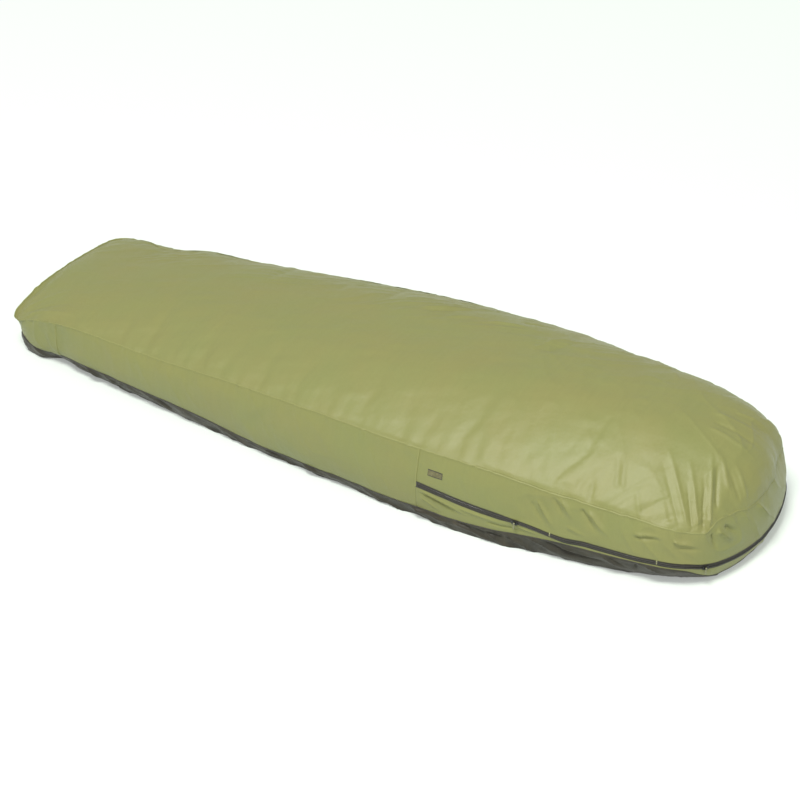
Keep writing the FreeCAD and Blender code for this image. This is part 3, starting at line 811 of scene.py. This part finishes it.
TOP_FOLDS = [
    ((1.045, -0.255), (0.895, -0.105), 0.007, 0.006),
    ((1.025, -0.262), (0.905, -0.150), 0.007, -0.004),
    ((1.066, -0.240), (0.965, -0.108), 0.006, 0.006),
    ((1.052, -0.248), (0.985, -0.160), 0.004, -0.006),
    ((1.086, -0.218), (1.000, -0.050), 0.006, 0.008),
    ((1.074, -0.232), (1.010, -0.110), 0.004, -0.006),
    ((1.080, -0.170), (1.025, -0.070), 0.006, -0.007),
    ((1.085, -0.110), (1.010, -0.040), 0.009, 0.005),
    ((1.122, -0.078), (1.055, -0.040), 0.008, 0.005),
    ((1.112, -0.100), (1.050, -0.065), 0.006, -0.004),
    ((1.086, -0.196), (1.124, -0.092), 0.005, 0.005),
    ((1.093, -0.200), (1.126, -0.115), 0.004, -0.004),
    ((0.862, -0.262), (0.815, -0.175), 0.007, 0.004),
    ((0.848, -0.268), (0.800, -0.185), 0.008, -0.004),
    ((0.800, -0.318), (0.770, -0.255), 0.010, -0.005),
    ((0.750, -0.330), (0.735, -0.270), 0.010, 0.003),
    ((1.005, -0.262), (0.915, -0.185), 0.018, -0.004),
    ((0.930, -0.292), (0.880, -0.235), 0.008, 0.003),
    ((0.940, 0.060), (1.110, 0.130), 0.012, 0.004),
    ((0.960, 0.030), (1.120, 0.070), 0.010, -0.004),
    ((0.980, 0.120), (1.090, 0.190), 0.010, 0.004),
    ((0.960, 0.000), (1.125, 0.020), 0.011, 0.004),
    ((0.000, 0.150), (0.175, 0.262), 0.008, 0.0045),
    ((0.020, 0.135), (0.185, 0.240), 0.006, -0.004),
    ((-0.075, 0.185), (0.050, 0.262), 0.007, 0.0035),
    ((0.090, 0.120), (0.215, 0.195), 0.007, 0.0035),
    ((0.100, 0.200), (0.190, 0.275), 0.006, 0.003),
    ((0.405, 0.075), (0.470, 0.225), 0.012, 0.005),
    ((0.440, 0.070), (0.500, 0.200), 0.014, -0.005),
    ((0.220, 0.160), (0.370, 0.212), 0.012, 0.004),
    ((0.290, 0.215), (0.420, 0.262), 0.012, -0.004),
    ((0.520, -0.010), (0.585, -0.215), 0.018, 0.0016),
    ((-1.120, -0.235), (-1.000, -0.120), 0.010, 0.003),
    ((-1.100, -0.245), (-0.930, -0.180), 0.009, -0.003),
    ((-1.090, -0.250), (-0.880, -0.235), 0.009, 0.003),
]


def near_head(x):
    """1 over the body's last stretch before the hood, where the cloth lies in soft crumples."""
    return ease((x - 0.15) / 0.35) * ease((0.95 - x) / 0.20)


def top_relief(x, y):
    """How far folds push the top cloth outward."""
    swell = 0.0036 * noise(x / 0.33 + 4.2, y / 0.17)
    drape = 0.0013 * noise(x / 0.09 + 1.5 * noise(x / 0.4, y / 0.3), y / 0.30)
    head = ease((x - 0.70) / 0.30)
    twist = 1.6 * noise(x / 0.14 + 2.7, y / 0.14)
    crumple = 0.0022 * head * (pleats(x / 0.060 + twist, y / 0.10 + 0.5 * x / 0.1) - 0.3)
    crumple = crumple + 0.0014 * head * noise(x / 0.034 + twist, y / 0.06)
    lean = (x + 0.5 * y) / 0.05 + 0.8 * noise(x / 0.2 + 7.1, y / 0.12)
    crumple = crumple + 0.0020 * near_head(x) * (pleats(lean, (y - 0.3 * x) / 0.10 + 3.7) - 0.3)
    far = ease((y - 0.04) / 0.10) * (1 - 0.6 * head)
    ripple = pleats((x - 0.6 * y) / 0.16, (y - 0.55 * x) / 0.034 + noise(x / 0.2, y / 0.1)) - 0.3
    ripple = 0.0020 * far * ripple + 0.0009 * noise((x + y) / 0.11, (y - 0.4 * x) / 0.03)
    return swell + drape + crumple + ripple + 0.85 * folds(x, y, TOP_FOLDS)


def top_runs():
    """Runs along the four edges of the top cloth, closer together towards the head."""
    foot, head = top_corner_runs()
    columns, rows = TOP_COARSE
    t = np.linspace(0, 1, columns)
    spread = np.interp(t, (0.0, 0.62, 0.72, 1.0), (0.0, 0.80, 0.88, 1.0))
    near = foot + (head - foot) * spread
    across = np.linspace(0, 1, rows)
    foot_runs = foot - 2 * foot * across
    head_runs = head + 2 * (HALF_RUN - head) * across
    return near, 2 * HALF_RUN - near, foot_runs, head_runs, spread


PUFF_STEPS = 20


def puff(piece, pinned, cap):
    """Blow a sheet up a little with its edge held, so that it draws its own wrinkles."""
    held = piece.vertex_groups.new(name="held")
    held.add(pinned, 1.0, "REPLACE")
    before = np.array([vertex.co for vertex in piece.data.vertices])
    cloth = piece.modifiers.new("cloth", "CLOTH")
    settings = cloth.settings
    settings.vertex_group_mass = "held"
    settings.quality = 5
    settings.mass = 0.08
    settings.tension_stiffness = 30
    settings.compression_stiffness = 30
    settings.shear_stiffness = 12
    settings.bending_stiffness = 0.05
    settings.shrink_min = -0.012
    settings.use_pressure = True
    settings.uniform_pressure_force = 3.0
    settings.effector_weights.gravity = 0.0
    cloth.collision_settings.use_collision = False
    scene = bpy.context.scene
    scene.frame_start = 1
    scene.frame_end = PUFF_STEPS
    cloth.point_cache.frame_start = 1
    cloth.point_cache.frame_end = PUFF_STEPS
    for step in range(1, PUFF_STEPS + 1):
        scene.frame_set(step)
    shown = piece.evaluated_get(bpy.context.evaluated_depsgraph_get())
    after = np.array([vertex.co for vertex in shown.data.vertices])
    piece.modifiers.remove(cloth)
    move = after - before
    length = np.linalg.norm(move, axis=1, keepdims=True)
    move *= cap * np.tanh(length / cap) / np.maximum(length, 1e-9)
    piece.data.vertices.foreach_set("co", (before + move).ravel())
    piece.data.update()
    scene.frame_set(1)


def subdivided(piece):
    """The piece with one level of subdivision applied."""
    smoother = piece.modifiers.new("smoother", "SUBSURF")
    smoother.levels = 1
    smoother.render_levels = 1
    smoother.boundary_smooth = "PRESERVE_CORNERS"
    shown = piece.evaluated_get(bpy.context.evaluated_depsgraph_get())
    finer = bpy.data.meshes.new_from_object(shown)
    piece.modifiers.remove(smoother)
    piece.data = finer


def push_out(piece, amount):
    """Move every point along its normal by amount, a function of x and y."""
    count = len(piece.data.vertices)
    place = np.empty(count * 3)
    normal = np.empty(count * 3)
    piece.data.vertices.foreach_get("co", place)
    piece.data.vertices.foreach_get("normal", normal)
    place, normal = place.reshape(-1, 3), normal.reshape(-1, 3)
    place += normal * amount(place[:, 0], place[:, 1])[:, None]
    piece.data.vertices.foreach_set("co", place.ravel())
    piece.data.update()


def seam_clearance(x, y):
    """0 on the top seam, rising to 1 a little way inside it."""
    width = virtual_half_width(np.minimum(x, HEAD_CENTRE + 0.1), y)
    to_tip = round_head(x, y, HEAD_REACHES) - np.hypot(y, x - HEAD_CENTRE)
    to_side = np.where(x < HEAD_CENTRE, width - np.abs(y), to_tip)
    to_foot = x + HALF_LENGTH - seam_inset(x, y)
    return ease(np.minimum(to_side, to_foot) / 0.012)


def make_top():
    """One sheet from the foot edge over the body and the head, puffed up and wrinkled."""
    near, far, foot, head, spread = top_runs()

    def plan_of(runs):
        return np.stack([*seam_plan(runs), np.zeros_like(runs)], axis=1)

    net = coons(*[plan_of(runs) for runs in (near, far, foot, head)], spread)
    flat = net[..., :2].copy()
    net[..., 2] = crown(net[..., 0], net[..., 1])
    shifts = [wall(runs, seam_height(runs)) - edge for runs, edge in
              ((near, net[:, 0]), (far, net[:, -1]), (foot, net[0]), (head, net[-1]))]
    net = net + edge_fade(*shifts, net, 0.02)
    columns, rows = TOP_COARSE
    piece = new_object("top_cloth", net, grid_faces(columns, rows), flat)
    index = np.arange(columns * rows).reshape(columns, rows)
    edge = np.unique(np.concatenate([index[0], index[-1], index[:, 0], index[:, -1]]))
    puff(piece, edge.tolist(), 0.012)
    subdivided(piece)
    push_out(piece, lambda x, y: top_relief(x, y) * seam_clearance(x, y))
    thicken(piece, CLOTH)
    dress(piece, "shell")
    on_hood(piece, "top_panel", "fold_band", "hood_top")


# ------------------------ side cloth
FOOT_SEAM = -0.955


def wall_sheet(name, first, last, low, high, step=0.004, rows=34):
    """Side cloth between two runs and two height curves."""
    runs = runs_between(first, last, step)
    bottom, top = low(runs), high(runs)
    share = np.linspace(0, 1, rows)[None]
    heights = bottom[:, None] + (top - bottom)[:, None] * share
    points = wall(runs[:, None], heights)
    coords = np.stack([np.broadcast_to(runs[:, None], heights.shape), heights], axis=-1)
    piece = new_object(name, points, grid_faces(len(runs), rows), coords)
    thicken(piece, CLOTH)
    return piece


TAPE_HALVES = [(0.32, 0.0074), (0.55, 0.0074), (0.61, 0.0045), (0.69, 0.0045), (0.76, 0.0064),
               (0.88, 0.0060), (1.06, 0.0058), (1.12, 0.0062), (1.15, 0.0068)]


def tape_half(runs):
    """Half the width that shows of the zip tape; the cloth folds over the rest."""
    return through(TAPE_HALVES, plan(runs)[0])


def tape_top(runs):
    return zip_height(runs) + tape_half(runs)


def tape_bottom(runs):
    return zip_height(runs) - tape_half(runs)


def make_walls():
    zip_from = run_at(ZIP_START)
    zip_to = run_at(ZIP_START, +1)
    foot_from = run_at(FOOT_SEAM)
    foot_to = run_at(FOOT_SEAM, +1)
    near = wall_sheet("side_cloth_near", foot_from, zip_from, rim_height, seam_height)
    on_sack(near, "side_wall_near")
    far = wall_sheet("side_cloth_far", zip_to, foot_to, rim_height, seam_height)
    on_sack(far, "side_wall_far")
    foot = wall_sheet("foot_cloth", foot_to, foot_from + 2 * HALF_RUN, rim_height, seam_height)
    on_sack(foot, "foot_panel")
    hood = wall_sheet("hood_wall_cloth", zip_from, zip_to, tape_top, seam_height, 0.0035, 30)
    on_hood(hood, "hood_wall")
    strip = wall_sheet("lower_strip_cloth", zip_from, zip_to, rim_height, tape_bottom, 0.0030, 24)
    on_sack(strip, "lower_zip_wall")
    for piece, wide, long in ((near, 0.15, 1.28), (far, 0.15, 1.28), (foot, 0.075, 0.98),
                              (hood, 0.11, 2.08), (strip, 0.032, 2.08)):
        dress(piece, "shell")


# ------------------------ tub floor
FLOOR_SPINE = (-0.88, 0.80)
FLOOR_STEPS = 25


def make_floor():
    """The dark floor, folded up all round into a low rim."""
    runs = np.linspace(0, 2 * HALF_RUN, 1100, endpoint=False)
    up = np.linspace(1, 0, 14)
    rim = rim_height(runs)
    heights = rim[:, None] * up[None]
    along = runs[:, None] + 0.4 * noise(runs[:, None] / 0.2, heights / 0.05) * heights
    ridges = pleats(along / 0.075 + heights / 0.045, heights / 0.03 + along / 0.16)
    crumple = 0.0056 * (ridges - 0.25) + 0.0016 * noise(along / 0.022, heights / 0.012)
    below_edge = ease((rim[:, None] - heights) / 0.010)
    creased = folds(mirrored(runs)[:, None] + 0 * heights, heights, FLOOR_FOLDS)
    points = wall(runs[:, None], heights, 0.0004 + (crumple + creased) * below_edge)
    edge = points[:, -1]
    spine_x = np.clip(plan(mirrored(runs))[0], *FLOOR_SPINE)
    spine = np.stack([spine_x, np.zeros(len(runs)), np.zeros(len(runs))], axis=1)
    inward = np.linspace(0, 1, FLOOR_STEPS)[1:]
    bottom = edge[:, None] + (spine - edge)[:, None] * inward[None, :, None]
    points = np.concatenate([points, bottom], axis=1)
    points[..., 2] = np.maximum(points[..., 2], CLOTH)
    columns = points.shape[1]
    piece = new_object("tub_floor", points, grid_faces(len(runs), columns, wrap=True),
                       points[..., :2])
    work = bmesh.new()
    work.from_mesh(piece.data)
    bmesh.ops.remove_doubles(work, verts=work.verts, dist=1e-5)
    bmesh.ops.dissolve_degenerate(work, edges=work.edges, dist=1e-6)
    work.to_mesh(piece.data)
    work.free()
    thicken(piece, CLOTH)
    dress(piece, "floor")
    on_sack(piece, "floor_sheet", "tub_rim_foot", "tub_rim_near", "tub_rim_far", "tub_rim_head")


# ------------------------ seams
def make_seams():
    whole = np.linspace(0, 2 * HALF_RUN, 1400)
    seam, rim = seam_height(whole), rim_height(whole)
    for name, heights, section, look, slot, hold, nodes in (
            ("top_seam", seam, raised(0.0022, -0.001, 0.0010), "seam", "seam_binding", on_hood,
             ("top_seam_foot", "top_seam_near", "top_seam_far", "hood_seam")),
            ("floor_edge", rim, raised(0.0016, -0.001, 0.0012), "binding", "dark_binding",
             on_sack, ("floor_binding",)),
            ("floor_tape", np.maximum(rim, 0.012), ribbon(-0.010, 0.010, -0.0120, -0.0109, 7),
             "inner_tape", "seam_tape", on_sack, ("floor_seam_tape",)),
            ("top_tape", seam - 0.012, ribbon(-0.010, 0.010, -0.0050, -0.0039, 9),
             "inner_tape", "seam_tape", on_hood,
             ("top_seam_tape_near", "top_seam_tape_far", "hood_seam_tape"))):
        sew(band(name, whole, heights, section), look, slot, hold, *nodes)
    for side, name in ((-1, "near"), (1, "far")):
        start = run_at(ZIP_START, side)
        riser = upright("riser_" + name, start + 0.001 * side, tape_bottom(start)[()],
                        seam_height(start)[()], raised(0.0030, -0.001, 0.0016))
        sew(riser, "seam", "seam_binding", on_sack, "riser_seam_" + name,
            "hood_riser_seam_" + name)
        corner = run_at(FOOT_SEAM, side)
        post = upright("foot_seam_" + name, corner, rim_height(corner)[()],
                       seam_height(corner)[()], raised(0.0030, -0.001, 0.0014))
        sew(post, "seam", "seam_binding", on_sack, "foot_corner_seam_" + name)


# ------------------------ zip
def coil(name, runs, heights, radius, pitch):
    """A spiral of monofilament, as a bar that swells once for every turn."""
    around = 6
    swell = 0.72 + 0.28 * np.abs(np.sin(math.pi * runs / pitch))
    rings = []
    for i in range(around):
        angle = 2 * math.pi * i / around
        up = radius * math.cos(angle) * swell
        out = radius * math.sin(angle) * swell + radius * 0.7
        rings.append(wall(runs, heights + up, out))
    return sleeve(name, np.stack(rings, axis=1))


ZIP_GAP = 0.0004
TAPE_LAP = 0.0015
COIL_OFFSET = 0.0022
COIL_RADIUS = 0.0012
COIL_PITCH = 0.0028
PATCH_HALF = 0.0085


def make_zip():
    first = run_at(ZIP_START) + 0.002
    last = run_at(ZIP_START, +1) - 0.002
    runs = runs_between(first, last, 0.0035)
    middle = zip_height(runs)
    fine = runs_between(first + 0.004, last - 0.004, 0.0007)
    lower = wall_strip("lower_tape", runs, tape_bottom(runs) - TAPE_LAP, middle - ZIP_GAP)
    sew(lower, "tape", "zip_tape", on_sack, "lower_zip_tape")
    upper = wall_strip("upper_tape", runs, middle + ZIP_GAP, tape_top(runs) + TAPE_LAP)
    sew(upper, "tape", "zip_tape", on_hood, "upper_zip_tape")
    for name, up, hold in (("lower", -COIL_OFFSET, on_sack), ("upper", COIL_OFFSET, on_hood)):
        turns = coil(name + "_coil", fine, zip_height(fine) + up, COIL_RADIUS, COIL_PITCH)
        sew(turns, "coil", "zip_coil", hold, name + "_zip_coil")
    flap = band("baffle", runs, middle, ribbon(-0.010, 0.024, -0.0080, -0.0065))
    sew(flap, "shell", "shell_cloth", on_hood, "zip_baffle")
    for side, name in ((-1, "near"), (1, "far")):
        start = run_at(ZIP_START + 0.001, side)
        height = zip_height(run_at(ZIP_START, side))[()]
        patch = upright("zip_end_" + name, start, height - PATCH_HALF, height + PATCH_HALF,
                        ribbon(-0.003, 0.003, -0.0006, 0.0012))
        sew(patch, "binding", "dark_binding", on_sack, "zip_end_patch_" + name)


# ------------------------ label and tacks
LABEL_ENDS = (0.355, 0.396)
LABEL_HEIGHT = 0.160
HEM = 0.0015
TACK_PLACES = (0.703, 0.985)


def make_label():
    first, last = run_at(LABEL_ENDS[0]), run_at(LABEL_ENDS[1])
    runs = np.linspace(first, last, 12)
    patch = band("label_face", runs, LABEL_HEIGHT, ribbon(-0.0065, 0.0065, 0.0002, 0.0011))
    sew(patch, "label", "label", on_hood, "label_patch")
    border = band("label_hem", runs_between(first - HEM, last + HEM, 0.003), LABEL_HEIGHT,
                  ribbon(-0.009, 0.009, 0.0001, 0.0007))
    sew(border, "label_edge", "label", on_hood, "label_border")


def make_tacks():
    stitches = []
    for start in [run_at(x) for x in TACK_PLACES]:
        height = zip_height(start)[()]
        stitches.append(upright("tack", start, height - 0.004, height + 0.008,
                                raised(0.0016, 0.0, 0.0016)))
    joined = stitches[0]
    work = bmesh.new()
    for stitch in stitches:
        work.from_mesh(stitch.data)
    work.to_mesh(joined.data)
    work.free()
    bpy.data.objects.remove(stitches[1])
    joined.name = "bar_tack_stitches"
    dress(joined, "thread")
    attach(joined, "hood")
    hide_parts("bar_tacks")


# ------------------------ sliders
def dress_sliders():
    for node, look in (("side_slider", "metal"), ("head_slider", "metal"),
                       ("side_puller", "tab"), ("head_puller", "tab")):
        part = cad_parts[node]
        part.data.materials.clear()
        part.data.materials.append(LOOKS[look])


# ------------------------ studio
def make_studio():
    """A lit table under a large soft lamp, with a weaker one beyond the head; the table's base
    colour is tinted green so that its shade shows a painted green reflection of the olive cloth.
    """
    bpy.ops.mesh.primitive_plane_add(size=60)
    floor = bpy.context.object
    floor.name = "studio_floor"
    reflection_tinted_table = Shader("lit_table", 0.9)
    # Green-tinted base colour: a painted green reflection of the olive cloth, showing where the
    # table lies in shade.
    reflection_tinted_table.surface.inputs["Base Color"].default_value = (0.54, 0.60, 0.555, 1)
    reflection_tinted_table.surface.inputs["Emission Color"].default_value = (0.98, 1.0, 0.98, 1)
    reflection_tinted_table.surface.inputs["Emission Strength"].default_value = 0.29
    floor.data.materials.append(reflection_tinted_table.material)
    world = bpy.data.worlds.new("studio")
    bpy.context.scene.world = world
    world.use_nodes = True
    backdrop = world.node_tree.nodes["Background"]
    backdrop.inputs["Color"].default_value = (0.98, 1.0, 0.99, 1)
    backdrop.inputs["Strength"].default_value = 0.48
    for name, place, wide, power in (("key", (0.60, -6.30, 14.75), 6.0, 2680),
                                     ("fill", (3.4, -3.2, 2.4), 3.0, 32)):
        data = bpy.data.lights.new(name, "AREA")
        data.shape = "DISK"
        data.size = wide
        data.energy = power
        data.color = (1.0, 0.985, 0.95)
        lamp = bpy.data.objects.new(name, data)
        bpy.context.scene.collection.objects.link(lamp)
        lamp.location = place
        lamp.rotation_euler = (Vector(place) - CAMERA_TARGET).to_track_quat("Z", "Y").to_euler()
    bpy.context.scene.view_settings.view_transform = "Standard"


make_top()
make_walls()
make_floor()
make_seams()
make_zip()
make_label()
make_tacks()
dress_sliders()
make_studio()
